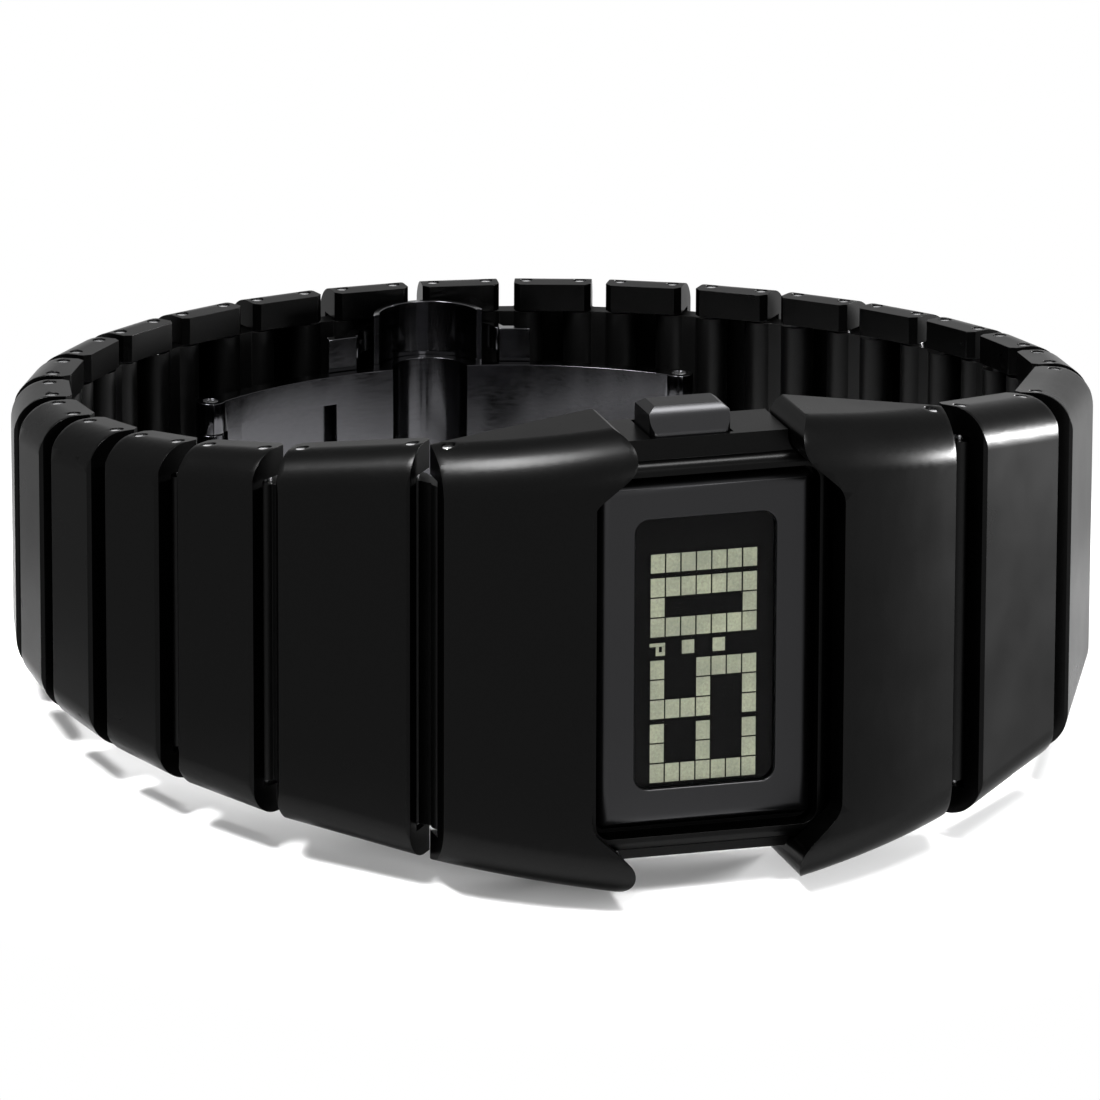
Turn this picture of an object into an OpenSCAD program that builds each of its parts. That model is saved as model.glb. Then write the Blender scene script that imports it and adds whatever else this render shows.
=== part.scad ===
// Rectangular digital wristwatch with a sideways display between two curved wings,
// on a tapering link bracelet closed by a butterfly clasp.
// Millimetres. Origin: middle of the case back's flat wrist side.
// +X towards twelve o'clock, +Y from the display to the wrist, +Z along the link pins to the pusher.

/* [Case] */
// Thickness of the watch head, from the case back to the top of the arched front
case_thick = 11.0; // [10.7:0.1:11.6]
// Radius of the arched front, seen along the pins
front_radius = 36.0; // [33:0.1:40]
// Distance from the middle of the watch head to the outer end of each wing
wing_end_x = 19.8; // [19.4:0.1:20.4]
// Half height of a wing at its outer end, where the bracelet starts
wing_half_h = 16.05; // [15.6:0.05:16.5]
// Widening of a wing towards its horns, in mm of half height per mm of length
wing_flare = 0.145; // [0.12:0.001:0.17]
// Thickness of a wing's front wall
wing_plate = 1.5; // [1.3:0.05:1.6]
// Thickness of a wing's side walls
wing_flange = 2.3; // [1.8:0.05:2.5]
// Thickness of a wing's inner wall beside the display
wing_inner = 1.4; // [1:0.05:1.7]
// Radius of a wing's rolled front edges
wing_roll = 3.6; // [2.4:0.05:4]
// Half width of the opening between the wings at the display
wing_gap_x = 9.7; // [9.2:0.05:10.4]
// Half width of the opening between the horns
horn_gap_x = 6.4; // [6:0.05:7]
// Height at which the inner edge starts its bend to the horn
horn_bend_z = 11.5; // [11.2:0.1:11.8]
// Angle of that bend
horn_bend_a = 48; // [45:1:52]
// Radius of the rounded turns of that bend
horn_bend_r = 2.0; // [1.6:0.1:2.2]
// Radius of a horn's tip
horn_tip_r = 1.7; // [1.2:0.1:1.7]
// How far the case back stands out behind the wings
back_step = 1.2; // [1.1:0.05:1.3]

/* [Case middle] */
// Depth of the front lip above and below the display, from the case back
lip_y = 6.2; // [6:0.05:6.5]
// Height of the case middle between the horns, on the pusher's side
middle_half_h = 16.6; // [16.4:0.1:16.9]
// Height of the case middle between the horns, on the other side
middle_low_h = 15.7; // [15.4:0.1:16.4]
// Half width of the rim round the display block
rim_hw = 9.6; // [9.5:0.05:9.65]
// Half height of that rim
rim_hh = 15.0; // [14.7:0.05:15.2]
// Radius of that rim's corners
rim_r = 2.5; // [2:0.1:3]
// Distance of that rim's front from the case back
rim_y = 6.9; // [6.7:0.05:7.2]
// Radius of that rim's rolled edge
rim_roll = 0.8; // [0.4:0.05:1]
// Gap between the case body and a wing's side walls
body_gap = 0.45; // [0.3:0.05:0.6]
// Half width of the case body under the wings
body_half_w = 15.4; // [15:0.05:15.8]
// Depth of the floor behind the display block, from the case back
floor_y = 5.0; // [4.8:0.05:5.4]
// Thickness of that floor
floor_t = 0.8; // [0.6:0.05:1]
// Distance that the bridge between the horns stays in front of the case back
middle_rear_y = 0.4; // [0.2:0.05:0.7]
// Thickness of the wall beside the movement's cavity
cavity_wall_x = 3.4; // [3.2:0.05:3.5]
// Thickness of the wall above and below that cavity
cavity_wall_z = 1.74; // [1.68:0.02:1.8]
// Thickness of the case back
back_t = 1.0; // [0.8:0.05:1.2]
// Radius of the case back's corners
back_corner = 2.2; // [1:0.1:3]
// Radius of a case back screw's head
screw_head_r = 1.0; // [0.8:0.05:1.1]
// Radius of a case back screw's thread
screw_r = 0.55; // [0.4:0.05:0.6]
// Length of a case back screw
screw_l = 3.2; // [2.4:0.1:4]

/* [Display] */
// Width of the display block across the watch head
block_w = 17.0; // [16.4:0.1:17.2]
// Height of the display block
block_h = 27.0; // [26.6:0.1:27.2]
// Distance of the display block's face from the case back
block_y = 6.3; // [6:0.05:6.8]
// Radius of the display block's corners
block_r = 1.2; // [0.6:0.1:2]
// Radius of the display block's rolled edges
block_roll = 1.15; // [0.5:0.05:1.2]
// Gap above and below the display block
block_gap = 0.4; // [0.2:0.05:0.5]
// Width of the window
window_w = 10.9; // [10.4:0.1:11.3]
// Height of the window
window_h = 20.9; // [20.4:0.1:21.5]
// Radius of the window's corners
window_r = 1.1; // [0.7:0.1:1.5]
// Thickness of the window glass
glass_t = 0.5; // [0.4:0.05:0.6]
// Depth of the glass under the display block's face
glass_drop = 0.05; // [0.02:0.01:0.15]
// Thickness of the liquid crystal panel
lcd_t = 0.95; // [0.8:0.05:1.1]
// Pitch of the lit cells across the window
cell_w = 1.19; // [1.05:0.01:1.3]
// Pitch of the lit cells along the window
cell_h = 1.55; // [1.4:0.01:1.56]
// Dark line between two lit cells
cell_gap = 0.12; // [0.06:0.01:0.2]
// Gap between two digits
digit_gap = 0.3; // [0.2:0.02:0.4]
// Extra gap for the colon
colon_gap = 1.7; // [1.3:0.05:1.9]
// Shift of the digits along the window
digits_z = 0.4; // [0.1:0.05:0.5]

/* [Movement] */
// Thickness of the circuit board
board_t = 0.6; // [0.4:0.05:0.7]
// Radius of the battery
battery_r = 10.0; // [9:0.1:10.2]
// Thickness of the battery
battery_t = 1.6; // [1.4:0.05:1.7]
// Thickness of the battery's strap
strap_t = 0.2; // [0.15:0.01:0.25]
// Width of the battery's strap
strap_w = 3.2; // [2:0.1:5]
// Width of a contact strip
strip_w = 1.2; // [0.8:0.1:1.6]

/* [Pusher] */
// Width of the pusher along the case
pusher_w = 6.2; // [5.4:0.1:7]
// Place of the pusher along the case
pusher_x = -1.0; // [-1.5:0.1:0]
// Depth of the pusher across the case
pusher_d = 4.8; // [4.2:0.1:4.9]
// How far the pusher stands out of the case
pusher_out = 2.0; // [1.8:0.05:2.2]
// Distance of the pusher's axis from the case back
pusher_y = 3.2; // [3.1:0.05:3.3]
// Travel of the pusher
pusher_travel = 0.7; // [0.5:0.05:0.75]
// Inward reach of each bevel on the pusher
pusher_bevel = 0.6; // [0.4:0.05:0.8]
// Height of its long front and rear bevels
pusher_bevel_h = 1.3; // [0.8:0.05:1.4]
// Height of its short bevel round the top
pusher_top_h = 0.45; // [0.2:0.05:0.5]
// Radius of the pusher's stem
stem_r = 0.8; // [0.7:0.05:0.9]
// Radius of the pusher's spring
spring_r = 1.35; // [1.25:0.05:1.4]

/* [Bracelet] */
// Distance of the lug pins from the middle of the watch head
lug_x = 18.65; // [18.4:0.05:18.8]
// Distance of the lug pins in front of the case back's plane
lug_y = 2.2; // [2:0.1:2.4]
// Length of the first link on either side
first_link = 12.1; // [11.8:0.1:12.6]
// Length of the second link on the left
second_left = 8.5; // [8.1:0.1:9.5]
// Length of the second link on the right
second_right = 14.65; // [14:0.05:15.2]
// Pitch of all other links
link_pitch = 7.54; // [7.2:0.02:7.9]
// Half height of the bracelet at the watch head
link_half_h = 16.05; // [15.6:0.05:16.3]
// Half height of the bracelet at the clasp
end_half_h = 9.93; // [9.7:0.05:10.6]
// Exponent of the bracelet's taper from the case to the clasp
taper_power = 2.6; // [1.8:0.1:3.2]
// Thickness of a link
link_thick = 4.5; // [4.2:0.05:5]
// Thickness of a link's outer wall
link_plate = 1.5; // [1.1:0.05:1.6]
// Thickness of a link's side walls
link_flange = 2.2; // [1.7:0.05:2.3]
// Radius of a link's rolled edges
link_roll = 3.0; // [1.6:0.05:3.2]
// Bevel of a link's end edges
link_bevel = 0.25; // [0.1:0.05:0.4]
// Distance of a link's pins from its wrist side
pin_inset = 1.5; // [1.4:0.05:1.6]
// Radius of the pins
pin_r = 0.5; // [0.4:0.02:0.55]
// Distance between the two pins of a connector
pin_pair = 3.25; // [3.1:0.05:3.5]
// Distance from a pin to the link's end
link_lip = 0.94; // [0.8:0.02:1.04]
// Radius of a connector's barrels
barrel_r = 1.3; // [1.1:0.05:1.35]
// Thickness of a connector's web
web_t = 1.5; // [1:0.05:1.8]
// Long half axis of the oval that the closed bracelet lies on
loop_a = 38.75; // [38:0.05:39.6]
// Short half axis of that oval
loop_b = 35.05; // [34.3:0.05:35.8]
// Sideways place of that oval's middle
loop_x = -1.55; // [-2.5:0.05:-0.5]
// Distance of that oval's middle behind the case back
loop_y = 29.7; // [29:0.05:30.3]
// Turn of that oval
loop_tilt = -27.6; // [-34:0.2:-22]

/* [Clasp] */
// Distance between the clasp plate's two hinges
clasp_span = 38; // [36:0.5:40]
// Depth of those hinges under the clasp's end pins
clasp_drop = 12.0; // [11:0.1:12.4]
// Rise of the arched clasp plate over its hinges
clasp_rise = 7.05; // [6.4:0.05:7.2]
// Thickness of the clasp's sheet parts
sheet_t = 0.9; // [0.7:0.05:1]
// Half height of the clasp plate
clasp_half_h = 4.6; // [4:0.1:5]
// Radius of the clasp's hinge pins
hinge_r = 0.6; // [0.5:0.02:0.65]
// Radius of the clasp's hinge eyes
eye_r = 1.15; // [1.05:0.05:1.2]
// Radius of the round bridge over the clasp plate
bridge_r = 4.5; // [4.2:0.1:4.6]
// Half height of that bridge
bridge_half_h = 9.0; // [8:0.1:9.4]
// Thickness of that bridge
bridge_t = 0.5; // [0.4:0.05:0.6]
// Depth of the bridge's axis under the end pins
bridge_drop = 6.2; // [6.1:0.05:6.4]
// Radius of the eyes on the end pins
end_eye_r = 0.95; // [0.8:0.05:1]
// Half height where the arms' prongs start
prong_in = 5.3; // [5.1:0.05:5.5]
// Height of a prong
prong_h = 2.0; // [1.4:0.05:2.2]
// Length of the window in the clasp plate
plate_window_l = 8.6; // [6:0.1:9]
// Height of the window in the clasp plate
plate_window_h = 4.6; // [3:0.1:6]
// Distance of that window's far end from the plate's middle
plate_window_x = 16.4; // [15:0.1:16.6]

/* [Hidden] */
links_left = 12;
links_right = 11;
fn_big = 120;
fn_mid = 48;
fit = 0.05;        // running fit round a pin, radial
seat = 0.02;       // gap round a pressed pin or a seated part
play = 0.15;       // side gap between a connector and its link
pin_sunk = 0.12;   // a pin's end under the wall's side face
eps = 0.01;
big = 60;
steel_black = [0.10, 0.10, 0.11];
steel_grey = [0.25, 0.25, 0.26];
steel = [0.75, 0.75, 0.76];

// the wings' arch
arc_y = front_radius - case_thick;
wing_deep = case_thick - back_step;          // depth of the side walls behind the front
body_half_h = wing_half_h - wing_flange + wing_flare * (wing_end_x - body_half_w) - body_gap;
wing_foot_h = body_half_h + 0.25;            // half height of the recess for the case body
function wing_h(x) = wing_half_h + wing_flare * (wing_end_x - x);
function arc_front(r, x) = arc_y - sqrt(r * r - x * x);

// the closed loop: an oval by the lug pins, scaled until the chains meet
function turn(v, a) = [v.x * cos(a) - v.y * sin(a), v.x * sin(a) + v.y * cos(a)];
function from_unit(q, k) = turn([loop_a * k * q.x, loop_b * k * q.y], loop_tilt);
function to_unit(p, k) = let (q = turn(p, -loop_tilt)) [q.x / (loop_a * k), q.y / (loop_b * k)];
lug_l = [-lug_x, -lug_y];
lug_r = [lug_x, -lug_y];
function loop_c(k) = [loop_x * k, -lug_y + (loop_y + lug_y) * k];
function on_loop(t, k, c) = c + from_unit([cos(t), sin(t)], k);
function angle_of(p, k, c) = let (q = to_unit(p - c, k)) atan2(q.y, q.x);
function next_t(p, l, k, c, t, n = 5) = n == 0 ? t :
  let (g = norm(on_loop(t, k, c) - p) - l, h = norm(on_loop(t + 0.01, k, c) - p) - l)
  next_t(p, l, k, c, t - 0.01 * g / (h - g), n - 1);
function walk(p, t, steps, dir, k, c, i = 0) = i == len(steps) ? [p] :
  let (s = next_t(p, steps[i], k, c, t + dir * steps[i] * 57 / loop_b))
  concat([p], walk(on_loop(s, k, c), s, steps, dir, k, c, i + 1));
len_left = [for (i = [0 : links_left - 1]) i == 0 ? first_link : i == 1 ? second_left : link_pitch];
len_right = [for (i = [0 : links_right - 1]) i == 0 ? first_link : i == 1 ? second_right : link_pitch];
function steps_of(lens) = [for (l = lens) for (s = [pin_pair, l - pin_pair]) s];
function chain_left(k) = let (c = loop_c(k))
  walk(lug_l, angle_of(lug_l, k, c), steps_of(len_left), -1, k, c);
function chain_right(k) = let (c = loop_c(k))
  walk(lug_r, angle_of(lug_r, k, c), steps_of(len_right), 1, k, c);
function open_by(k) = let (a = chain_left(k), b = chain_right(k))
  (b[2 * links_right] - a[2 * links_left]).x - pin_pair;
function solve(lo, hi, n) = n == 0 ? (lo + hi) / 2 :
  let (m = (lo + hi) / 2) open_by(m) > 0 ? solve(lo, m, n - 1) : solve(m, hi, n - 1);
loop_k = solve(0.8, 1.25, 20);
pins_left = chain_left(loop_k);
pins_right = chain_right(loop_k);

// half heights at the seams, from the wing to the clasp
function run(lens, i) = i == 0 ? 0 : lens[i - 1] + run(lens, i - 1);
function seam_h(lens, i) = end_half_h + (link_half_h - end_half_h)
  * pow(1 - run(lens, i) / run(lens, len(lens)), taper_power);

// the clasp's own frame: between the end pins, +x to the right one, +y away from the wrist
end_l = pins_left[2 * links_left];
end_r = pins_right[2 * links_right];
end_d = end_r - end_l;
clasp_at = (end_l + end_r) / 2;
clasp_turn = atan2(end_d.y, end_d.x);
end_x = norm(end_d) / 2;
hinge_x = clasp_span / 2;
leaf_off = eye_r - sheet_t / 2;              // sheet's mid surface off its hinge axis
plate_r = (hinge_x * hinge_x + clasp_rise * clasp_rise) / (2 * clasp_rise);
plate_c = -clasp_drop - leaf_off + clasp_rise - plate_r;
arm_gap = 0.2;                               // between the closed arm and the plate
arm_r = plate_r + sheet_t + arm_gap;         // arm's mid surface
prong_r = norm([end_x, bridge_drop]) - 0.3;
end_inner = end_half_h - link_flange;        // free half height inside the last links

// general shapes
module rect2(w, h, r) {
  union() {
    square([w, h - 2 * r], center = true);
    square([w - 2 * r, h], center = true);
    for (x = [-1, 1], y = [-1, 1]) translate([x * (w / 2 - r), y * (h / 2 - r)]) circle(r, $fn = fn_mid);
  }
}
// a plate seen from the front, from depth y0 to depth y1 in front of the case back
module plate_y(w, h, r, y0, y1) translate([0, -y0, 0]) rotate([90, 0, 0])
  linear_extrude(y1 - y0) rect2(w, h, r);
// section of a plate with rolled front edges
module roll2(w, h, r) union() {
  translate([-w / 2, 0]) square([w, h - r]);
  translate([-w / 2 + r, 0]) square([w - 2 * r, h]);
  for (s = [-1, 1]) translate([s * (w / 2 - r), h - r]) circle(r, $fn = fn_mid);
}
module rolled_plate(w, h, r, y0, y1, roll) intersection() {
  plate_y(w, h, r, y0, y1);
  translate([0, -y0, -h]) rotate(180) linear_extrude(2 * h) roll2(w, y1 - y0, roll);
  translate([-w, -y0, 0]) rotate([0, 90, 0]) rotate(180) linear_extrude(2 * w) roll2(h, y1 - y0, roll);
}
module rod(p, r, z0, z1, n = fn_mid) translate([p.x, p.y, z0]) cylinder(r = r, h = z1 - z0, $fn = n);

// case
// half section of a wing, and of the room inside it: r from the arch's axis, z from the middle
module wing_profile() {
  h = wing_half_h + wing_deep;
  translate([front_radius - wing_deep - 1, -wing_deep]) square([wing_deep - wing_roll + 1, h]);
  translate([front_radius - wing_deep - 1, -wing_deep]) square([wing_deep + 1, h - wing_roll]);
  translate([front_radius - wing_roll, wing_half_h - wing_roll]) circle(wing_roll, $fn = fn_mid);
}
module wing_room() translate([front_radius - wing_deep - 2, -wing_deep])
  square([wing_deep - wing_plate + 2, wing_half_h - wing_flange + wing_deep]);
module flared() for (s = [0, 1]) mirror([0, 0, s]) intersection() {
  multmatrix([[1, 0, 0, 0], [0, 1, 0, 0], [-wing_flare, 0, 1, wing_flare * wing_end_x], [0, 0, 0, 1]])
    translate([0, arc_y, 0]) rotate_extrude($fn = fn_big) children();
  translate([0, -case_thick - 1, 0]) cube([wing_end_x + 1, case_thick + 2, big]);
}
// room between the wings: straight at the display, bending in to the horns; g makes it smaller
module wing_opening(g = 0) {
  wx = wing_gap_x - g;
  hx = horn_gap_x - g;
  ax = horn_bend_r * (1 - cos(horn_bend_a));
  az = horn_bend_r * sin(horn_bend_a);
  z1 = horn_bend_z + 2 * az + (wx - hx - 2 * ax) / tan(horn_bend_a);
  difference() {
    union() {
      polygon([[0, -1], [wx, -1], [wx, horn_bend_z], [wx - ax, horn_bend_z + az],
        [hx + ax, z1 - az], [hx, z1], [hx, big], [0, big]]);
      translate([wx - horn_bend_r, horn_bend_z]) circle(horn_bend_r, $fn = fn_mid);
    }
    translate([hx + horn_bend_r, z1]) circle(horn_bend_r, $fn = fn_mid);
  }
}
module horn_tip() {
  tip = wing_h(horn_gap_x) - horn_tip_r;
  difference() {
    translate([horn_gap_x - 1, tip]) square([horn_tip_r + 1, 2 * horn_tip_r]);
    translate([horn_gap_x + horn_tip_r, tip]) circle(horn_tip_r, $fn = fn_mid);
  }
}
module wing_outline() difference() {
  translate([0, -big / 2]) square([wing_end_x, big]);
  for (s = [0, 1]) mirror([0, s]) {
    wing_opening();
    horn_tip();
  }
}
module wing() difference() {
  intersection() {
    flared() wing_profile();
    translate([0, 1, 0]) rotate([90, 0, 0]) linear_extrude(case_thick + 3) wing_outline();
    translate([0, -case_thick - 1, -big]) cube([wing_end_x + 1, case_thick + 1 - back_step, 2 * big]);
  }
  intersection() {
    flared() wing_room();
    translate([wing_gap_x + wing_inner, -case_thick, -big]) cube([wing_end_x, 2 * case_thick, 2 * big]);
  }
  translate([0, -floor_y - 0.05, -wing_foot_h])
    cube([wing_gap_x + wing_inner + eps, floor_y + 1, 2 * wing_foot_h]);
  plate_y(2 * rim_hw + 0.2, 2 * rim_hh + 0.2, rim_r + 0.1, floor_y - 0.6, rim_y + 0.1);
  rod(lug_r, pin_r + seat, -big, big);
}
module left_wing() color(steel_black) mirror([1, 0, 0]) wing();
module right_wing() color(steel_black) wing();

body_r = front_radius - wing_plate - seat;
cavity_hw = body_half_w - cavity_wall_x;
cavity_hh = body_half_h - cavity_wall_z;
channel_hw = wing_gap_x + wing_inner + 0.1;
screw_x = (cavity_hw + body_half_w) / 2 + 0.35;
screw_z = body_half_h - screw_head_r - 0.25;
gasket_w = 0.5;
gasket_in = 0.3;
module gasket2(g) difference() {
  rect2(2 * (cavity_hw + gasket_in + gasket_w + g), 2 * (cavity_hh + gasket_in + gasket_w + g), 0.8 + g);
  rect2(2 * (cavity_hw + gasket_in - g), 2 * (cavity_hh + gasket_in - g), 0.5);
}
module case_middle() color(steel_grey) difference() {
  union() {
    difference() {
      intersection() {
        translate([0, arc_y, -body_half_h]) cylinder(r = body_r, h = 2 * body_half_h, $fn = fn_big);
        translate([-body_half_w, -case_thick, -body_half_h])
          cube([2 * body_half_w, case_thick - back_t, 2 * body_half_h]);
      }
      // room for the wings' inner walls
      translate([-channel_hw, -case_thick - 1, -body_half_h - 1])
        cube([2 * channel_hw, case_thick + 1 - floor_y, 2 * body_half_h + 2]);
    }
    translate([0, -middle_rear_y, 0]) rotate([90, 0, 0]) linear_extrude(lip_y - middle_rear_y)
    intersection() {
      for (a = [0, 1], b = [0, 1]) mirror([a, 0]) mirror([0, b]) wing_opening(0.12);
      translate([-wing_gap_x, -middle_low_h]) square([2 * wing_gap_x, middle_half_h + middle_low_h]);
    }
    rolled_plate(2 * rim_hw, 2 * rim_hh, rim_r, floor_y - 0.5, rim_y, rim_roll);
  }
  // hollow for the display block
  plate_y(block_w + 0.2, block_h + 2 * block_gap, block_r, floor_y, rim_y + 1);
  // opening for the panel, and the movement's cavity
  plate_y(window_w + 0.3, window_h + 0.3, window_r, back_t - 1, floor_y + 1);
  translate([-cavity_hw, -floor_y + floor_t, -cavity_hh])
    cube([2 * cavity_hw, floor_y - floor_t, 2 * cavity_hh]);
  translate([0, -back_t + 1, 0]) rotate([90, 0, 0]) linear_extrude(1.4) gasket2(0.05);
  // seat of the case back
  translate([-body_half_w - 1, -back_t, -body_half_h - 0.2])
    cube([2 * body_half_w + 2, back_t + 1, 2 * body_half_h + 0.4]);
  for (x = [-1, 1], z = [-1, 1]) translate([x * screw_x, 0, z * screw_z]) rotate([90, 0, 0])
    cylinder(r = screw_r + seat, h = screw_l + 0.3, $fn = fn_mid);
  // pusher's pocket, spring seat, bore and clip room
  translate([pusher_x - pusher_w / 2 - 0.12, -pusher_y - pusher_d / 2 - 0.12, pocket_z])
    cube([pusher_w + 0.24, pusher_d + 0.24, 5]);
  rod(press, spring_r + 0.15, spring_z, pocket_z + 1);
  rod(press, stem_r + fit, cavity_hh - 1, pocket_z + 1);
  rod(press, clip_r + 0.2, cavity_hh - 1, clip_z + clip_t + eps);
}
module display_bezel() color(steel_black) difference() {
  rolled_plate(block_w, block_h, block_r, floor_y, block_y, block_roll);
  plate_y(window_w, window_h, window_r, floor_y - 1, block_y + 1);
}
glass_y = block_y - glass_drop;              // depth of the glass' outer face
lcd_y = glass_y - glass_t - 0.05;            // depth of the panel's outer face
module window_lens() color([0.5, 0.55, 0.5, 0.3])
  plate_y(window_w - 2 * seat, window_h - 2 * seat, window_r, glass_y - glass_t, glass_y);
module lcd_panel() color([0.02, 0.03, 0.03])
  plate_y(window_w - 0.1, window_h - 0.1, window_r, lcd_y - lcd_t, lcd_y);

// lit cells of each digit: three columns of seven, bottom to top
all7 = [0 : 6];
dig_0 = [[for (i = all7) i], [0, 6], [for (i = all7) i]];
dig_1 = [[], [], [for (i = all7) i]];
dig_3 = [[0, 3, 6], [0, 3, 6], [for (i = all7) i]];
dig_5 = [[0, 3, 4, 5, 6], [0, 3, 6], [0, 1, 2, 3, 6]];
digit_h = 3 * cell_h;
digits_top = (4 * digit_h + 2 * digit_gap + colon_gap) / 2 + digits_z - cell_gap;
function digit_z(i) = digits_top - i * digit_h - (i > 0 ? digit_gap : 0)
  - (i > 1 ? colon_gap : 0) - (i > 2 ? digit_gap : 0);
print_t = 0.04;                              // thickness of the printed cells
module cell(x0, x1, z0, z1) translate([x0, -lcd_y - print_t, z0]) cube([x1 - x0, print_t, z1 - z0]);
module digit(cols, z) for (j = [0 : 2], i = cols[j])
  cell((i - 3.5) * cell_w + cell_gap / 2, (i - 2.5) * cell_w - cell_gap / 2,
       z - (j + 1) * cell_h + cell_gap / 2, z - j * cell_h - cell_gap / 2);
module lcd_cells() color([0.64, 0.66, 0.56]) {
  digit(dig_1, digit_z(0));
  digit(dig_0, digit_z(1));
  digit(dig_5, digit_z(2));
  digit(dig_3, digit_z(3));
  colon_z = digit_z(2) + colon_gap / 2;
  for (i = [2, 4]) cell((i - 3.5) * cell_w + cell_gap, (i - 2.5) * cell_w - cell_gap,
    colon_z - cell_h / 3, colon_z + cell_h / 3);
  // the afternoon's letter: its stem, then the two sides and the end of its bowl
  x0 = -3.5 * cell_w;
  x1 = x0 + cell_w;
  e = cell_w / 5;
  cell(x0, x1, colon_z + 0.7 * e, colon_z + 1.8 * e);
  for (x = [x1 - 3 * e, x1 - e]) cell(x, x + e, colon_z - 1.1 * e, colon_z + 0.6 * e);
  cell(x1 - 3 * e, x1, colon_z - 2.3 * e, colon_z - 1.2 * e);
}
module contact_strips() color([0.5, 0.3, 0.35]) for (s = [-1, 1])
  translate([-window_w / 2 + 0.6, -lcd_y + lcd_t, s * (window_h / 2 - strip_w / 2 - 0.4) - strip_w / 2])
    cube([window_w - 1.2, lcd_y - lcd_t - strip_y0, strip_w]);
battery_y = back_t + 2 * strap_t;            // depth of the battery's rear face
board_y = battery_y + battery_t + 0.1;       // depth of the board's rear face
strip_y0 = board_y + board_t;
holder_w = 2 * cavity_hw - 0.2;
holder_h = 2 * cavity_hh - 0.2;
module circuit_board() color([0.05, 0.3, 0.15])
  plate_y(holder_w - 2.8, holder_h - 1, 0.5, board_y, board_y + board_t);
module module_holder() color([0.85, 0.85, 0.82]) difference() {
  plate_y(holder_w, holder_h, 0.8, battery_y, floor_y - floor_t - 0.05);
  plate_y(holder_w - 2.7, holder_h - 0.9, 0.5, board_y - 0.05, floor_y);
  translate([0, -battery_y + 1, 0]) rotate([90, 0, 0])
    cylinder(r = battery_r + 0.1, h = battery_t + 2, $fn = fn_big);
}
module battery() color(steel) translate([0, -battery_y, 0]) rotate([90, 0, 0])
  cylinder(r = battery_r, h = battery_t, $fn = fn_big);
module battery_clip() color(steel) translate([-holder_w / 2 + 0.3, -battery_y, -strap_w / 2])
  cube([holder_w - 0.6, strap_t, strap_w]);
module case_back_gasket() color([0.05, 0.05, 0.05])
  translate([0, -back_t, 0]) rotate([90, 0, 0]) linear_extrude(0.35) gasket2(0);
module case_back() color(steel_grey) difference() {
  plate_y(2 * body_half_w, 2 * body_half_h, back_corner, 0, back_t);
  for (x = [-1, 1], z = [-1, 1]) translate([x * screw_x, 0, z * screw_z]) {
    rotate([90, 0, 0]) translate([0, 0, -1]) cylinder(r = screw_r + 0.1, h = back_t + 2, $fn = fn_mid);
    rotate([90, 0, 0]) translate([0, 0, -1])
      cylinder(r = screw_head_r + 0.05, h = 1 + back_t / 2, $fn = fn_mid);
  }
}
module case_back_screws() color(steel) for (x = [-1, 1], z = [-1, 1])
  translate([x * screw_x, 0, z * screw_z]) rotate([90, 0, 0]) difference() {
    union() {
      translate([0, 0, 0.05]) cylinder(r = screw_head_r, h = back_t / 2 - 0.05, $fn = fn_mid);
      cylinder(r = screw_r, h = screw_l, $fn = fn_mid);
    }
    translate([-2, -0.12, -1]) cube([4, 0.24, 1.25]);
  }
module lug_pins() color(steel) for (s = [-1, 1])
  rod([s * lug_x, -lug_y], pin_r, -wing_h(lug_x) + 0.2, wing_h(lug_x) - 0.2);

// pusher
press = [pusher_x, -pusher_y];               // the pusher's axis
pocket_z = middle_half_h - 0.9;              // bottom of the pusher's pocket
pusher_z = pocket_z + pusher_travel + 0.05;  // underside of the pusher at rest
spring_z = pocket_z - 1.0;                   // seat of its spring
clip_r = 1.5;
clip_t = 0.25;
clip_z = cavity_hh + pusher_travel + 0.1;
stem_end = clip_z - 0.15;
ring_z = clip_z + 0.9;
// section of the pusher: straight or leaning side, then a short bevel up to the flat top
module pusher2(w, h, lean) {
  c = w / 2 - lean;
  z = h - pusher_top_h;
  polygon([[-w / 2, 0], [w / 2, 0], [w / 2, z - pusher_bevel_h], [c, z], [c - pusher_bevel, h],
    [pusher_bevel - c, h], [-c, z], [-w / 2, z - pusher_bevel_h]]);
}
module pusher() color(steel_black) difference() {
  union() {
    intersection() {
      h = middle_half_h + pusher_out - pusher_z;
      translate([press.x, press.y, pusher_z]) linear_extrude(h) rect2(pusher_w, pusher_d, 0.5);
      translate([press.x, press.y + pusher_d, pusher_z]) rotate([90, 0, 0]) linear_extrude(2 * pusher_d)
        pusher2(pusher_w, h, 0);
      translate([press.x - pusher_w, press.y, pusher_z]) rotate([90, 0, 90]) linear_extrude(2 * pusher_w)
        pusher2(pusher_d, h, pusher_bevel);
    }
    rod(press, stem_r, stem_end, pusher_z + 0.5);
  }
  for (g = [[clip_z, clip_z + clip_t], [ring_z, ring_z + 0.36]]) difference() {
    rod(press, stem_r + 1, g[0], g[1]);
    rod(press, stem_r - 0.25, g[0] - 1, g[1] + 1);
  }
}
module pusher_clip() color(steel) difference() {
  rod(press, clip_r, clip_z + seat, clip_z + clip_t - seat);
  rod(press, stem_r - 0.25 + seat, clip_z - 1, clip_z + 1);
  translate([press.x - 0.4, press.y, clip_z - 1]) cube([0.8, clip_r + 1, 2]);
}
module pusher_o_ring() color([0.05, 0.05, 0.05]) translate([press.x, press.y, ring_z + 0.18])
  rotate_extrude($fn = fn_mid) translate([stem_r - 0.25 + seat + 0.125, 0]) circle(0.125, $fn = 24);
module pusher_spring() color(steel) difference() {
  rod(press, spring_r, spring_z, pusher_z);
  rod(press, stem_r + 0.2, spring_z - 1, pusher_z + 1);
}

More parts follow.
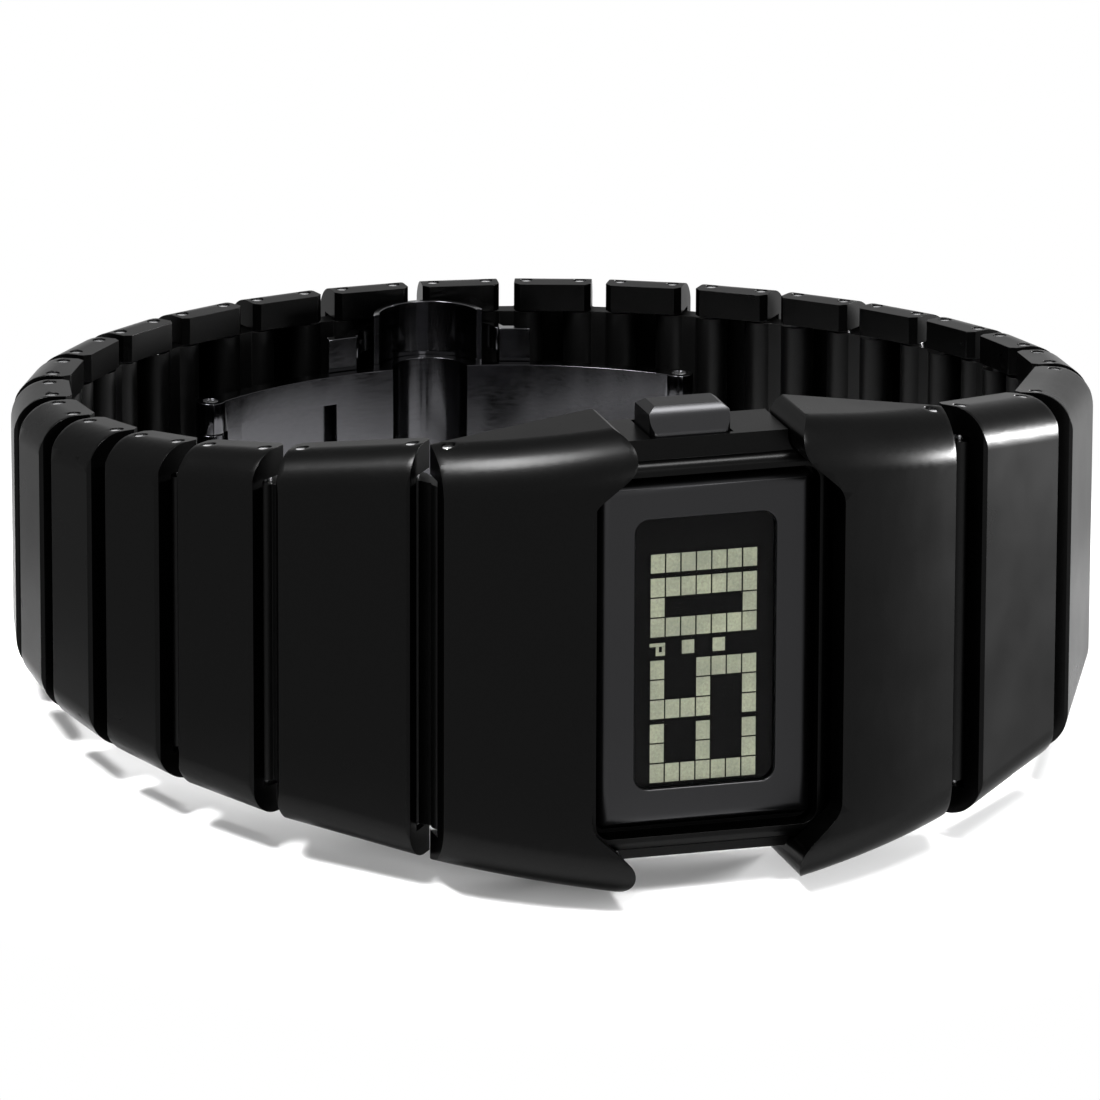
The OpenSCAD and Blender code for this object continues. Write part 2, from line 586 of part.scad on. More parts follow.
// bracelet
module link_profile(hm) {
  y0 = -pin_inset;
  y1 = link_thick - pin_inset;
  difference() {
    union() {
      translate([y0, -4]) square([link_thick - link_roll, hm + 4]);
      translate([y0, -4]) square([link_thick, hm + 4 - link_roll]);
      intersection() {
        translate([y1 - link_roll, hm - link_roll]) circle(link_roll, $fn = fn_mid);
        translate([y0, 0]) square([link_thick, hm]);
      }
    }
    translate([y0 - 1, -5]) square([link_thick - link_plate + 1, hm - link_flange + 5]);
  }
}
// body of one link: x from the near pin to the far pin, +y away from the wrist
module link_shell(l, h0, h1) {
  k = (h0 - h1) / l;
  bl = l - pin_pair + 2 * link_lip;
  difference() {
    for (s = [0, 1]) mirror([0, 0, s]) intersection() {
      multmatrix([[1, 0, 0, 0], [0, 1, 0, 0], [-k, 0, 1, 0], [0, 0, 0, 1]])
        rotate([90, 0, 90]) linear_extrude(bl, center = true) link_profile((h0 + h1) / 2);
      translate([-l, -pin_inset - 1, 0]) cube([2 * l, link_thick + 2, 2 * h0]);
    }
    for (x = [-1, 1]) {
      rod([x * (l - pin_pair) / 2, 0], pin_r + seat, -big, big);
      translate([x * bl / 2, link_thick - pin_inset, 0]) rotate(45)
        cube([link_bevel * sqrt(2), link_bevel * sqrt(2), big], center = true);
      translate([x * bl / 2, -pin_inset, 0]) rotate(45)
        cube([2 * link_bevel * sqrt(2), 2 * link_bevel * sqrt(2), big], center = true);
    }
  }
}
// double barrel across a seam, from the pin at a to the pin at b
module connector(a, b, h) {
  d = b - a;
  translate([a.x, a.y, -h]) rotate(atan2(d.y, d.x)) linear_extrude(2 * h) difference() {
    union() {
      circle(barrel_r, $fn = fn_mid);
      translate([norm(d), 0]) circle(barrel_r, $fn = fn_mid);
      translate([0, -web_t / 2]) square([norm(d), web_t]);
    }
    circle(pin_r + fit, $fn = fn_mid);
    translate([norm(d), 0]) circle(pin_r + seat, $fn = fn_mid);
  }
}
module link(pins, lens, i, side) {
  a = pins[2 * i];
  b = pins[2 * i + 1];
  c = pins[2 * i + 2];
  l = lens[i];
  h0 = seam_h(lens, i);
  h1 = seam_h(lens, i + 1);
  k = (h0 - h1) / l;
  m = (b + c) / 2;
  d = c - b;
  xp = (l - pin_pair) / 2;
  last = side > 0 && i == len(lens) - 1;
  color(steel_black) {
    translate([m.x, m.y, 0]) rotate(atan2(d.y, d.x)) mirror([0, side > 0 ? 1 : 0, 0]) link_shell(l, h0, h1);
  }
  color(steel_grey) connector(a, b, h0 - link_flange - play - k * (pin_pair / 2 + barrel_r));
  color(steel) {
    rod(b, pin_r, -(h0 + h1) / 2 - k * xp + pin_sunk, (h0 + h1) / 2 + k * xp - pin_sunk);
    hc = (h0 + h1) / 2 - k * xp;
    if (last) for (s = [0, 1]) mirror([0, 0, s]) rod(c, pin_r, hc - link_flange, hc - pin_sunk);
    else rod(c, pin_r, -hc + pin_sunk, hc - pin_sunk);
  }
}
module link_left(i) link(pins_left, len_left, i - 1, -1);
module link_right(i) link(pins_right, len_right, i - 1, 1);

// clasp
module in_clasp() translate([clasp_at.x, clasp_at.y, 0]) rotate(clasp_turn) children();
module tube(p, r1, r0, h, n = fn_big) difference() {
  rod(p, r1, -h, h, n);
  rod(p, r0, -h - 1, h + 1, n);
}
module both_z() for (s = [0, 1]) mirror([0, 0, s]) children();
// sheet arch of mid radius r about the plate's centre, from x0 to x1
module arch(r, x0, x1, h) intersection() {
  tube([0, plate_c], r + sheet_t / 2, r - sheet_t / 2, h);
  translate([x0, plate_c, -h - 1]) cube([x1 - x0, r + 2, 2 * h + 2]);
}
module arm(bore) {
  knuckle_h = 2.0;
  foot_l = 2.4;
  arm_h = clasp_half_h - 0.2;
  x0 = bridge_r + 1.3;
  difference() {
    union() {
      arch(arm_r, x0, hinge_x, arm_h);
      arch(arm_r, x0, x0 + foot_l, prong_in + prong_h);
      both_z() intersection() {
        difference() {
          rod([0, -bridge_drop], prong_r + 0.4, prong_in, prong_in + prong_h, fn_big);
          rod([0, -bridge_drop], prong_r - 0.4, 0, big, fn_big);
        }
        translate([end_x, -bridge_drop + 1.0, 0]) cube([prong_r, prong_r + 2, big]);
      }
      both_z() rod([end_x, 0], end_eye_r, prong_in, prong_in + prong_h);
    }
    both_z() rod([hinge_x, -clasp_drop], eye_r + 0.2, knuckle_h, big);
    rod([hinge_x, -clasp_drop], eye_r - 0.1, -big, big);
    rod([end_x, 0], bore, -big, big);
  }
  difference() {
    rod([hinge_x, -clasp_drop], eye_r, -knuckle_h, knuckle_h);
    rod([hinge_x, -clasp_drop], hinge_r + fit, -big, big);
  }
}
module clasp_left_arm() color(steel) in_clasp() mirror([1, 0, 0]) arm(pin_r + fit);
module clasp_right_arm() color(steel) in_clasp() arm(pin_r + seat);
module clasp_end_bar() color(steel) in_clasp()
  rod([end_x, 0], pin_r, -prong_in - prong_h - 0.2, prong_in + prong_h + 0.2);
rib_r = bridge_r - bridge_t - 0.1;           // round rib of the plate, inside the bridge
module clasp_plate() color(steel) in_clasp() {
  difference() {
    union() {
      arch(plate_r, -hinge_x, hinge_x, clasp_half_h);
      intersection() {
        rod([0, -bridge_drop], rib_r, -clasp_half_h, clasp_half_h, fn_big);
        translate([-bridge_r, -bridge_drop - 2, -big]) cube([2 * bridge_r, bridge_r + 3, 2 * big]);
      }
      for (x = [-1, 1]) both_z() rod([x * hinge_x, -clasp_drop], eye_r, 2.1, clasp_half_h);
    }
    rod([0, -bridge_drop], rib_r - sheet_t, -big, big, fn_big);
    difference() {
      translate([-bridge_r, -bridge_drop - 4, -big]) cube([2 * bridge_r, 6, 2 * big]);
      tube([0, plate_c], plate_r + sheet_t + 10, plate_r - sheet_t / 2, big);
    }
    for (x = [-1, 1]) {
      rod([x * hinge_x, -clasp_drop], eye_r + 0.2, -2.1, 2.1);
      rod([x * hinge_x, -clasp_drop], hinge_r + seat, -big, big);
    }
    translate([-plate_window_x, -big, -plate_window_h / 2]) cube([plate_window_l, big, plate_window_h]);
  }
}
module clasp_bridge() color(steel) in_clasp() difference() {
  intersection() {
    rod([0, -bridge_drop], bridge_r, -bridge_half_h, bridge_half_h, fn_big);
    translate([-big, -bridge_drop, -big]) cube([2 * big, big, 2 * big]);
  }
  rod([0, -bridge_drop], bridge_r - bridge_t, -big, big, fn_big);
  rod([0, plate_c], plate_r + sheet_t / 2 + seat, -big, big, fn_big);
}
module clasp_hinge_pins() color(steel) in_clasp() for (x = [-1, 1])
  rod([x * hinge_x, -clasp_drop], hinge_r, -clasp_half_h + 0.05, clasp_half_h - 0.05);

case_middle();
left_wing();
right_wing();
display_bezel();
window_lens();
lcd_panel();
lcd_cells();
contact_strips();
circuit_board();
module_holder();
battery();
battery_clip();
case_back_gasket();
case_back();
case_back_screws();
lug_pins();
pusher();
pusher_clip();
pusher_o_ring();
pusher_spring();
link_left(1);  // link_left_01
link_left(2);  // link_left_02
link_left(3);  // link_left_03
link_left(4);  // link_left_04
link_left(5);  // link_left_05
link_left(6);  // link_left_06
link_left(7);  // link_left_07
link_left(8);  // link_left_08
link_left(9);  // link_left_09
link_left(10);  // link_left_10
link_left(11);  // link_left_11
link_left(12);  // link_left_12
link_right(1);  // link_right_01
link_right(2);  // link_right_02
link_right(3);  // link_right_03
link_right(4);  // link_right_04
link_right(5);  // link_right_05
link_right(6);  // link_right_06
link_right(7);  // link_right_07
link_right(8);  // link_right_08
link_right(9);  // link_right_09
link_right(10);  // link_right_10
link_right(11);  // link_right_11
clasp_left_arm();
clasp_plate();
clasp_bridge();
clasp_hinge_pins();
clasp_right_arm();
clasp_end_bar();
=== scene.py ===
"""A black steel digital wristwatch, its display set sideways between two curved wings."""
import math

import bpy
from mathutils import Matrix, Vector

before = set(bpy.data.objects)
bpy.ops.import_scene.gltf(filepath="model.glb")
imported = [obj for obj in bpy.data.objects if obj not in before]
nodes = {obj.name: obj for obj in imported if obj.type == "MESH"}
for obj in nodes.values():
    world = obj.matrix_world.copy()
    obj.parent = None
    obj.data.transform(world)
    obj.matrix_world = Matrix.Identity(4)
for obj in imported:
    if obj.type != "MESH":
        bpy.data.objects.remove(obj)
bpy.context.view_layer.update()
MM = 0.001
WHITE = (1, 1, 1, 1)


# tools for the finishes

# octaves of the noise that draws grain, and of the one that draws lines, dots and clouds
GRAIN_DETAIL = 3.0
SOFT_DETAIL = 2.0
# places of the sockets on Blender's Mix node for colours, where several sockets share a name
MIX_SHARE = 0
MIX_FIRST = 6
MIX_SECOND = 7
MIX_RESULT = 2


def linear(code):
    """An sRGB hex colour as the linear values that Blender's sockets take."""
    out = []
    for i in (1, 3, 5):
        c = int(code[i:i + 2], 16) / 255
        out.append(c / 12.92 if c <= 0.04045 else ((c + 0.055) / 1.055) ** 2.4)
    return (*out, 1.0)


def once_in(size_mm):
    """The noise scale at which the pattern repeats about once in so many millimetres."""
    return 1 / (size_mm * MM)


def add(tree, kind, settings=None, links=None):
    """One node of a kind, with its settings (attributes or sockets) and its incoming links."""
    node = tree.nodes.new(kind)
    for key, value in (settings or {}).items():
        if isinstance(key, str) and hasattr(node, key):
            setattr(node, key, value)
        else:
            node.inputs[key].default_value = value
    for key, socket in (links or {}).items():
        tree.links.new(socket, node.inputs[key])
    return node


def new_finish(name):
    """An empty material, its node tree and the Object coordinates that its pattern reads."""
    material = bpy.data.materials.new(name)
    material.use_nodes = True
    tree = material.node_tree
    tree.nodes.clear()
    return material, tree, add(tree, "ShaderNodeTexCoord").outputs["Object"]


# black coated steel

# the coat's roughness wanders by so much, in clouds of so many millimetres
COAT_WANDER = 0.02
COAT_CLOUD_MM = 6
# the clouds' noise stays mostly between these two values
CLOUD_LOW = 0.3
CLOUD_HIGH = 0.7
# how much of the blasted grain's noise is in its finest octaves, and how high the grain stands
COAT_GRAIN_FINE = 0.6
COAT_GRAIN_HEIGHT_MM = 0.02
# a Specular Tint below white keeps the coat dark at glancing angles
COAT_EDGE = (0.56, 0.56, 0.56, 1)


def coated_steel(name, code, code_worn, dull, grain_mm, depth):
    """Blasted steel under a thin black coat: dull is its roughness, depth the strength of its grain."""
    material, tree, at = new_finish(name)
    grain = add(tree, "ShaderNodeTexNoise",
                {"Scale": once_in(grain_mm), "Detail": GRAIN_DETAIL, "Roughness": COAT_GRAIN_FINE},
                {"Vector": at})
    cloud = add(tree, "ShaderNodeTexNoise",
                {"Scale": once_in(COAT_CLOUD_MM), "Detail": SOFT_DETAIL}, {"Vector": at})
    rough = add(tree, "ShaderNodeMapRange",
                {"From Min": CLOUD_LOW, "From Max": CLOUD_HIGH,
                 "To Min": dull - COAT_WANDER, "To Max": dull + COAT_WANDER},
                {"Value": cloud.outputs["Fac"]})
    tint = add(tree, "ShaderNodeMix",
               {"data_type": "RGBA", MIX_FIRST: linear(code), MIX_SECOND: linear(code_worn)},
               {MIX_SHARE: grain.outputs["Fac"]})
    bump = add(tree, "ShaderNodeBump",
               {"Strength": depth, "Distance": COAT_GRAIN_HEIGHT_MM * MM}, {"Height": grain.outputs["Fac"]})
    coat = add(tree, "ShaderNodeBsdfPrincipled", {"Metallic": 1.0, "Specular Tint": COAT_EDGE},
               {"Base Color": tint.outputs[MIX_RESULT], "Roughness": rough.outputs[0],
                "Normal": bump.outputs[0]})
    add(tree, "ShaderNodeOutputMaterial", links={"Surface": coat.outputs[0]})
    return material


# bare metal with fine lines

# a line is so many times as long as the lines' spacing
LINE_STRETCH = 60
# the roughness falls and rises by so much from line to line
LINE_SMOOTHER = 0.06
LINE_ROUGHER = 0.08
LINE_DEPTH_MM = 0.01


def brushed_metal(name, code, dull, line_mm, along, depth):
    """Bare metal with straight lines: line_mm is their spacing, along their direction."""
    material, tree, at = new_finish(name)
    scale = [once_in(line_mm)] * 3
    scale["XYZ".index(along)] = once_in(line_mm) / LINE_STRETCH
    stretched = add(tree, "ShaderNodeMapping", {"Scale": scale}, {"Vector": at})
    lines = add(tree, "ShaderNodeTexNoise",
                {"Scale": 1.0, "Detail": SOFT_DETAIL}, {"Vector": stretched.outputs[0]})
    rough = add(tree, "ShaderNodeMapRange",
                {"To Min": dull - LINE_SMOOTHER, "To Max": dull + LINE_ROUGHER},
                {"Value": lines.outputs["Fac"]})
    bump = add(tree, "ShaderNodeBump",
               {"Strength": depth, "Distance": LINE_DEPTH_MM * MM}, {"Height": lines.outputs["Fac"]})
    metal = add(tree, "ShaderNodeBsdfPrincipled", {"Metallic": 1.0, "Base Color": linear(code)},
                {"Roughness": rough.outputs[0], "Normal": bump.outputs[0]})
    add(tree, "ShaderNodeOutputMaterial", links={"Surface": metal.outputs[0]})
    return material


# moulded plastic and rubber

# the roughness wanders by so much
MOULD_WANDER = 0.05
MOULD_GRAIN_HEIGHT_MM = 0.02


def moulded(name, code, dull, grain_mm, depth=0.08, specular=0.5):
    """Moulded plastic, rubber or film with a fine grain; grain_mm is the grain's size."""
    material, tree, at = new_finish(name)
    grain = add(tree, "ShaderNodeTexNoise",
                {"Scale": once_in(grain_mm), "Detail": GRAIN_DETAIL}, {"Vector": at})
    rough = add(tree, "ShaderNodeMapRange",
                {"To Min": dull - MOULD_WANDER, "To Max": dull + MOULD_WANDER},
                {"Value": grain.outputs["Fac"]})
    bump = add(tree, "ShaderNodeBump",
               {"Strength": depth, "Distance": MOULD_GRAIN_HEIGHT_MM * MM}, {"Height": grain.outputs["Fac"]})
    surface = add(tree, "ShaderNodeBsdfPrincipled",
                  {"Base Color": linear(code), "Specular IOR Level": specular},
                  {"Roughness": rough.outputs[0], "Normal": bump.outputs[0]})
    add(tree, "ShaderNodeOutputMaterial", links={"Surface": surface.outputs[0]})
    return material


# the display's cells

CELL_DOT_MM = 0.22
CELL_CLOUD_MM = 3.0
CELL_DULL = 0.6
# the product of both noises at which the mottling is darkest, and palest
CELL_DARK_AT = 0.12
CELL_PALE_AT = 0.4


def lit_cells(name, code_dark, code_pale):
    """Cells of a negative liquid crystal, each a little mottled by its dots."""
    material, tree, at = new_finish(name)
    dots = add(tree, "ShaderNodeTexNoise",
               {"Scale": once_in(CELL_DOT_MM), "Detail": SOFT_DETAIL}, {"Vector": at})
    cloud = add(tree, "ShaderNodeTexNoise", {"Scale": once_in(CELL_CLOUD_MM)}, {"Vector": at})
    both = add(tree, "ShaderNodeMath", {"operation": "MULTIPLY"},
               {0: dots.outputs["Fac"], 1: cloud.outputs["Fac"]})
    mottle = add(tree, "ShaderNodeValToRGB", links={"Fac": both.outputs[0]})
    dark, pale = mottle.color_ramp.elements
    dark.position = CELL_DARK_AT
    dark.color = linear(code_dark)
    pale.position = CELL_PALE_AT
    pale.color = linear(code_pale)
    cells = add(tree, "ShaderNodeBsdfPrincipled", {"Roughness": CELL_DULL},
                {"Base Color": mottle.outputs[0]})
    add(tree, "ShaderNodeOutputMaterial", links={"Surface": cells.outputs[0]})
    return material


# the window's glass

# a coat against reflections leaves few of them, which an index near that of air gives
GLASS_IOR = 1.04
GLASS_TINT = (0.97, 0.97, 0.97, 1)
# faint smears, so many millimetres across, between these two roughnesses
SMEAR_MM = 5
SMEAR_CLEAN = 0.02
SMEAR_DULL = 0.07


def clear_glass(name):
    """Flat mineral glass: it mixes clear with gloss by Fresnel, so that little shows but reflections."""
    material, tree, at = new_finish(name)
    smear = add(tree, "ShaderNodeTexNoise", {"Scale": once_in(SMEAR_MM)}, {"Vector": at})
    rough = add(tree, "ShaderNodeMapRange", {"To Min": SMEAR_CLEAN, "To Max": SMEAR_DULL},
                {"Value": smear.outputs["Fac"]})
    share = add(tree, "ShaderNodeFresnel", {"IOR": GLASS_IOR})
    clear = add(tree, "ShaderNodeBsdfTransparent", {"Color": GLASS_TINT})
    gloss = add(tree, "ShaderNodeBsdfGlossy", {"Color": WHITE}, {"Roughness": rough.outputs[0]})
    glass = add(tree, "ShaderNodeMixShader",
                links={0: share.outputs[0], 1: clear.outputs[0], 2: gloss.outputs[0]})
    add(tree, "ShaderNodeOutputMaterial", links={"Surface": glass.outputs[0]})
    return material


# the finishes; grain and lines are drawn two to three times as coarse as real ones, which wouldn't show

# satin black coat over blasted steel: deep black that turns grey only where a lamp meets it
black_satin = coated_steel("black_coated_blasted_steel", "#121212", "#181818",
                           dull=0.29, grain_mm=0.12, depth=0.2)
# the same coat on the tumbled parts inside the bracelet: greyer and duller
black_dull = coated_steel("black_coated_tumbled_steel", "#191919", "#202020",
                          dull=0.4, grain_mm=0.16, depth=0.25)
# the same coat over a finer, shallower grain on the display's frame and the pusher: the greyest
black_fine = coated_steel("black_coated_fine_blasted_steel", "#2C2C2D", "#313132",
                          dull=0.3, grain_mm=0.1, depth=0.1)
# polished steel of the clasp, with clear reflections and faint lines along it; its dark grey is painted
# shade, darker than bare steel, for the dark surroundings that it reflects
clasp_steel_painted_shade = brushed_metal("polished_steel_painted_shade", "#38383A",
                            dull=0.12, line_mm=0.2, along="X", depth=0.04)
# ground stainless steel of pins and screws: bright, with fine turning marks
pin_steel = brushed_metal("ground_stainless_steel", "#D6D6D8",
                          dull=0.22, line_mm=0.08, along="X", depth=0.05)
# brushed stainless steel of the case back: dark grey with upright lines
back_steel = brushed_metal("brushed_stainless_steel", "#4A4A4D",
                           dull=0.34, line_mm=0.06, along="Z", depth=0.15)
# nickel plated steel of the battery and its strap: bright and a little warm
battery_steel = brushed_metal("nickel_plated_steel", "#C8C6C0",
                              dull=0.2, line_mm=0.1, along="X", depth=0.05)
# polarising film over the liquid crystal: an even black that takes hardly any light
panel_black = moulded("black_polarising_film", "#060606", dull=0.35, grain_mm=0.5, depth=0.01, specular=0.06)
# lit cells of the liquid crystal: pale grey green, without a glow of their own
cell_green = lit_cells("lit_liquid_crystal", "#6C7060", "#878B74")
# mineral glass of the window: seen only by a faint reflection
lens_glass = clear_glass("mineral_glass")
# silicone rubber strips between board and panel: dull old rose
strip_rubber = moulded("conductive_silicone_rubber", "#8C5A62", dull=0.6, grain_mm=0.1)
# glass fibre circuit board: deep green with a soft gloss
board_green = moulded("glass_fibre_board", "#12522C", dull=0.4, grain_mm=0.3)
# moulded plastic of the movement's holder: warm white with a soft gloss
holder_white = moulded("moulded_white_plastic", "#D9D8D0", dull=0.45, grain_mm=0.4)
# nitrile rubber of the gasket and the O-ring: black and dull
seal_rubber = moulded("black_nitrile_rubber", "#111111", dull=0.5, grain_mm=0.15)


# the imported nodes

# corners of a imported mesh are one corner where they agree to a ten-millionth of a metre
STEPS_PER_METRE = 1e7
# corners closer than this, in metres, are joined before edges are rounded
WELD_WITHIN = 1e-6
# faces that differ by less, in degrees, become one flat face
FLAT_WITHIN = 0.4
# edges sharper than this, in degrees, are rounded
SHARP_FROM = 35
ROUND_SEGMENTS = 2
# how much more the large faces count in the normals: 50 is neutral and 100 the most
FACE_WEIGHT = 100
LINK_EDGE_MM = 0.1


def soften(obj, width_mm):
    """Small rounded edges that catch the light, on a node whose shape stays."""
    for face in obj.data.polygons:
        face.use_smooth = True
    weld = obj.modifiers.new("weld", "WELD")
    weld.merge_threshold = WELD_WITHIN
    flat = obj.modifiers.new("flat_faces", "DECIMATE")
    flat.decimate_type = "DISSOLVE"
    flat.angle_limit = math.radians(FLAT_WITHIN)
    edge = obj.modifiers.new("edge", "BEVEL")
    edge.width = width_mm * MM
    edge.segments = ROUND_SEGMENTS
    edge.limit_method = "ANGLE"
    edge.angle_limit = math.radians(SHARP_FROM)
    edge.use_clamp_overlap = True
    normals = obj.modifiers.new("normals", "WEIGHTED_NORMAL")
    normals.weight = FACE_WEIGHT


def dress(obj, finishes, width_mm):
    """Gives a node its finishes, and rounds its edges where they have a width."""
    obj.data.materials.clear()
    for finish in finishes:
        obj.data.materials.append(finish)
    if width_mm:
        soften(obj, width_mm)


def solids_of(obj):
    """The faces of each separate solid of a node, the solid with the largest box first."""
    mesh = obj.data
    first_at = {}
    corners = []
    for v in mesh.vertices:
        place = tuple(round(c * STEPS_PER_METRE) for c in v.co)
        corners.append(first_at.setdefault(place, v.index))
    joined = list(range(len(corners)))

    def root(corner):
        while joined[corner] != corner:
            joined[corner] = joined[joined[corner]]
            corner = joined[corner]
        return corner

    for face in mesh.polygons:
        meet = root(corners[face.vertices[0]])
        for v in face.vertices[1:]:
            joined[root(corners[v])] = meet
    solids = {}
    for face in mesh.polygons:
        solids.setdefault(root(corners[face.vertices[0]]), []).append(face.index)

    def box_volume(faces):
        spots = [mesh.vertices[v].co for f in faces for v in mesh.polygons[f].vertices]
        sides = [max(s[k] for s in spots) - min(s[k] for s in spots) for k in range(3)]
        return sides[0] * sides[1] * sides[2]

    return sorted(solids.values(), key=box_volume, reverse=True)


def dress_link(obj):
    """A link: its shell is its largest solid, its connector the second, and its two pins follow."""
    finishes = (black_satin, black_dull, pin_steel)
    dress(obj, finishes, LINK_EDGE_MM)
    for rank, faces in enumerate(solids_of(obj)):
        for f in faces:
            obj.data.polygons[f].material_index = min(rank, len(finishes) - 1)


# each single node's finish, and the width of its rounded edges in millimetres; 0 leaves them sharp
NODE_FINISHES = {
    "case_middle": (black_satin, 0.18),
    "left_wing": (black_satin, 0.15),
    "right_wing": (black_satin, 0.15),
    "display_bezel": (black_fine, 0.2),
    "window_lens": (lens_glass, 0.05),
    "lcd_panel": (panel_black, 0),
    "lcd_cells": (cell_green, 0),
    "contact_strips": (strip_rubber, 0.05),
    "circuit_board": (board_green, 0.05),
    "module_holder": (holder_white, 0.05),
    "battery": (battery_steel, 0.15),
    "battery_clip": (battery_steel, 0.03),
    "case_back_gasket": (seal_rubber, 0.05),
    "case_back": (back_steel, 0.12),
    "case_back_screws": (pin_steel, 0.05),
    "lug_pins": (pin_steel, 0.08),
    "pusher": (black_fine, 0.1),
    "pusher_clip": (pin_steel, 0.03),
    "pusher_o_ring": (seal_rubber, 0),
    "pusher_spring": (pin_steel, 0.05),
    "clasp_plate": (clasp_steel_painted_shade, 0.08),
    "clasp_bridge": (clasp_steel_painted_shade, 0.08),
    "clasp_left_arm": (clasp_steel_painted_shade, 0.08),
    "clasp_right_arm": (clasp_steel_painted_shade, 0.08),
    "clasp_hinge_pins": (pin_steel, 0.05),
    "clasp_end_bar": (pin_steel, 0.05),
}
for name, (finish, edge_mm) in NODE_FINISHES.items():
    dress(nodes[name], [finish], edge_mm)
for name, obj in nodes.items():
    if name.startswith("link_"):
        dress_link(obj)


# the camera, solved from the photograph

# where it stands, in millimetres, and its turn, tilt and roll, in degrees
EYE_MM = (-220.18, -723.65, 228.59)
CAMERA_AZIMUTH = -16.18
CAMERA_ELEVATION = 16.40
CAMERA_ROLL = 0.188
LENS_MM = 346.2
SENSOR_MM = 36.0
# the nearest and the farthest that it sees, in metres
NEAR = 0.01
FAR = 20


def turned_axes():
    """The camera's own right, up and back, turned round the line of sight by its roll."""
    azimuth = math.radians(CAMERA_AZIMUTH)
    elevation = math.radians(CAMERA_ELEVATION)
    roll = math.radians(CAMERA_ROLL)
    level = math.cos(elevation)
    back = Vector((math.sin(azimuth) * level, -math.cos(azimuth) * level, math.sin(elevation)))
    level_right = (-back).cross(Vector((0, 0, 1))).normalized()
    level_up = level_right.cross(-back)
    right = math.cos(roll) * level_right + math.sin(roll) * level_up
    up = math.cos(roll) * level_up - math.sin(roll) * level_right
    return right, up, back


camera_data = bpy.data.cameras.new("camera")
camera_data.lens = LENS_MM
camera_data.sensor_width = SENSOR_MM
camera_data.sensor_fit = "HORIZONTAL"
camera_data.clip_start = NEAR
camera_data.clip_end = FAR
camera = bpy.data.objects.new("camera", camera_data)
camera.matrix_world = Matrix.Translation(Vector(EYE_MM) * MM) @ Matrix(turned_axes()).transposed().to_4x4()
bpy.context.scene.collection.objects.link(camera)
bpy.context.scene.camera = camera


# the table and the white around the watch

# how brightly the world lights the watch, and the table's side in metres
PLAIN_LIGHT = 0.4
TABLE_SIDE = 6
# up to the first radius the table is matt and takes the shadow, and past the second it is white
MATT_TO_MM = 34
WHITE_FROM_MM = 66
# the watch lies on the wings' lower edges and on the clasp's end, so it leans back a little
FRONT_LOW_MM = Vector((0, -1.2, -17.97))
REAR_LOW_MM = Vector((0, 67.5, -9.97))


def seen_directly(tree):
    """1 for what the camera sees straight, in a reflection or through glass, and 0 for light."""
    ray = add(tree, "ShaderNodeLightPath")
    either = add(tree, "ShaderNodeMath", {"operation": "MAXIMUM"},
                 {0: ray.outputs["Is Camera Ray"], 1: ray.outputs["Is Glossy Ray"]})
    return add(tree, "ShaderNodeMath", {"operation": "MAXIMUM"},
               {0: either.outputs[0], 1: ray.outputs["Is Transmission Ray"]}).outputs[0]


def pale_stage(name, code):
    """Pale matt table whose far part is plain white to the camera and in reflections."""
    material, tree, at = new_finish(name)
    far = add(tree, "ShaderNodeVectorMath", {"operation": "LENGTH"}, {0: at})
    fade = add(tree, "ShaderNodeMapRange",
               {"From Min": MATT_TO_MM * MM, "From Max": WHITE_FROM_MM * MM,
                "interpolation_type": "SMOOTHSTEP"},
               {"Value": far.outputs["Value"]})
    part = add(tree, "ShaderNodeMath", {"operation": "MULTIPLY"},
               {0: fade.outputs[0], 1: seen_directly(tree)})
    matt = add(tree, "ShaderNodeBsdfDiffuse", {"Color": linear(code)})
    white = add(tree, "ShaderNodeEmission", {"Color": WHITE, "Strength": 1.0})
    top = add(tree, "ShaderNodeMixShader",
              links={0: part.outputs[0], 1: matt.outputs[0], 2: white.outputs[0]})
    add(tree, "ShaderNodeOutputMaterial", links={"Surface": top.outputs[0]})
    return material


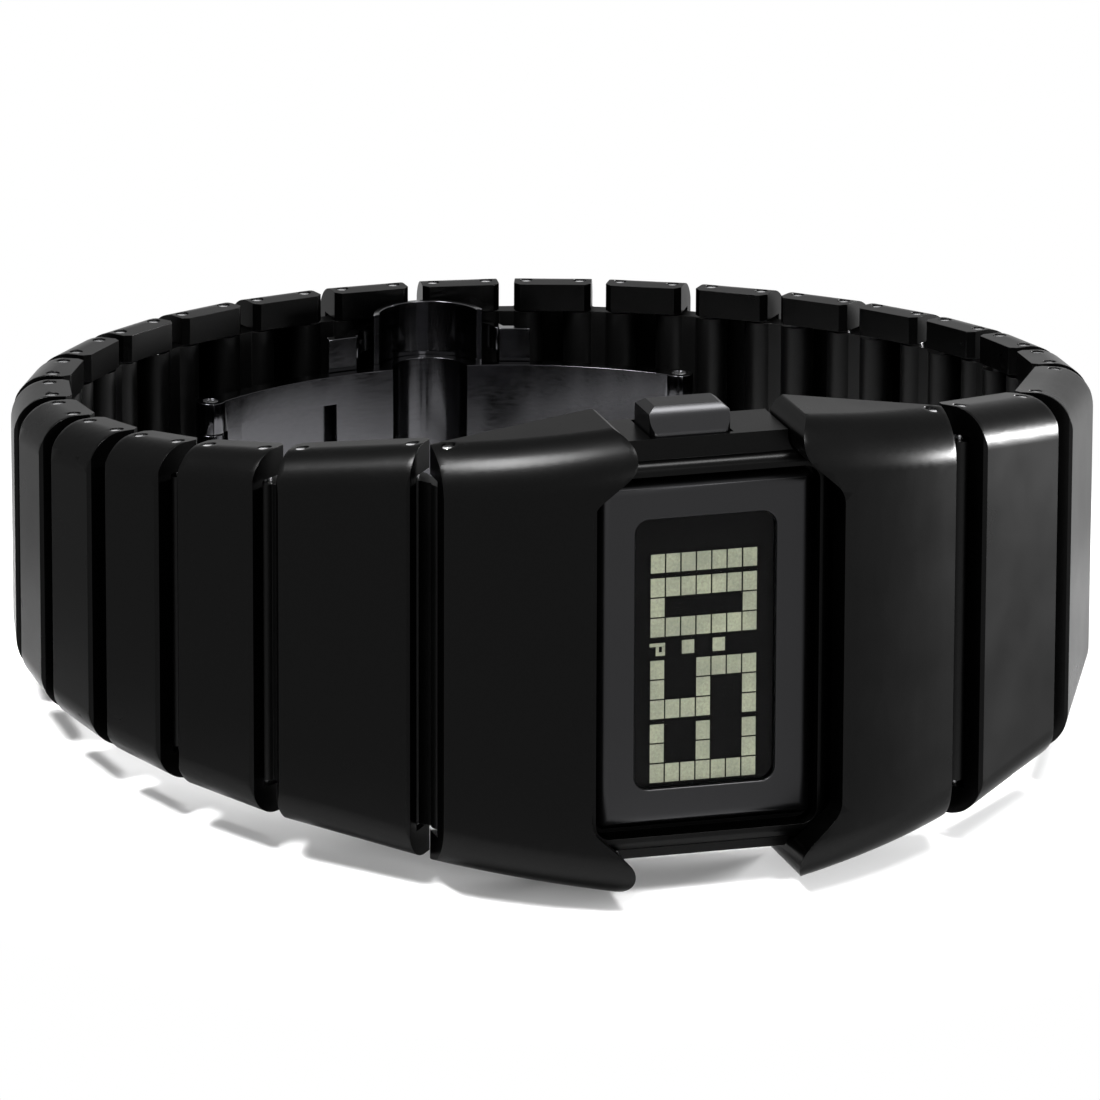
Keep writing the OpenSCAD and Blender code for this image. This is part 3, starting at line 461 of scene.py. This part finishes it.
bpy.ops.object.select_all(action="DESELECT")
bpy.ops.mesh.primitive_plane_add(size=TABLE_SIDE, location=(0, 0, 0))
table = bpy.context.object
table.name = "table"
table_up = Vector((1, 0, 0)).cross((REAR_LOW_MM - FRONT_LOW_MM).normalized()).normalized()
table_middle = (FRONT_LOW_MM + REAR_LOW_MM) / 2 * MM
table_turn = Vector((0, 0, 1)).rotation_difference(table_up).to_matrix().to_4x4()
table.matrix_world = Matrix.Translation(table_middle) @ table_turn
table.data.materials.append(pale_stage("pale_table", "#F4F4F4"))

world = bpy.data.worlds.new("studio")
world.use_nodes = True
world.node_tree.nodes.clear()
plain = add(world.node_tree, "ShaderNodeBackground", {"Color": WHITE, "Strength": PLAIN_LIGHT})
white = add(world.node_tree, "ShaderNodeBackground", {"Color": WHITE, "Strength": 1.0})
around = add(world.node_tree, "ShaderNodeMixShader",
             links={0: seen_directly(world.node_tree), 1: plain.outputs[0], 2: white.outputs[0]})
add(world.node_tree, "ShaderNodeOutputWorld", links={"Surface": around.outputs[0]})
bpy.context.scene.world = world


# the lamps
def lamp(name, at_mm, aim_mm, size_mm, watts):
    """A soft rectangular lamp that looks at a point; size_mm is its width and height."""
    light = bpy.data.lights.new(name, "AREA")
    light.shape = "RECTANGLE"
    light.size = size_mm[0] * MM
    light.size_y = size_mm[1] * MM
    light.energy = watts
    at = Vector(at_mm) * MM
    aim = Vector(aim_mm) * MM
    obj = bpy.data.objects.new(name, light)
    obj.matrix_world = Matrix.Translation(at) @ (aim - at).to_track_quat("-Z", "Y").to_matrix().to_4x4()
    bpy.context.scene.collection.objects.link(obj)


# low on the right, for the glow on the right wing and the first right link
lamp("right_softbox", at_mm=(430, 50, 14), aim_mm=(30, 5, 0), size_mm=(240, 50), watts=16)
# high over the left end of the head, for the soft bands on the rolled upper edges
lamp("left_top_softbox", at_mm=(-210, -60, 440), aim_mm=(-20, 0, 0), size_mm=(180, 130), watts=7)
# high on the right and in front, for the bright upper edge of the display's frame
lamp("display_top_softbox", at_mm=(120, -160, 440), aim_mm=(0, 0, 0), size_mm=(120, 140), watts=2)
# weak and in front, so that the display's frame stands out from the wings
lamp("front_softbox", at_mm=(20, -540, 130), aim_mm=(0, -5, 0), size_mm=(140, 140), watts=0.5)

bpy.context.scene.view_settings.view_transform = "Standard"
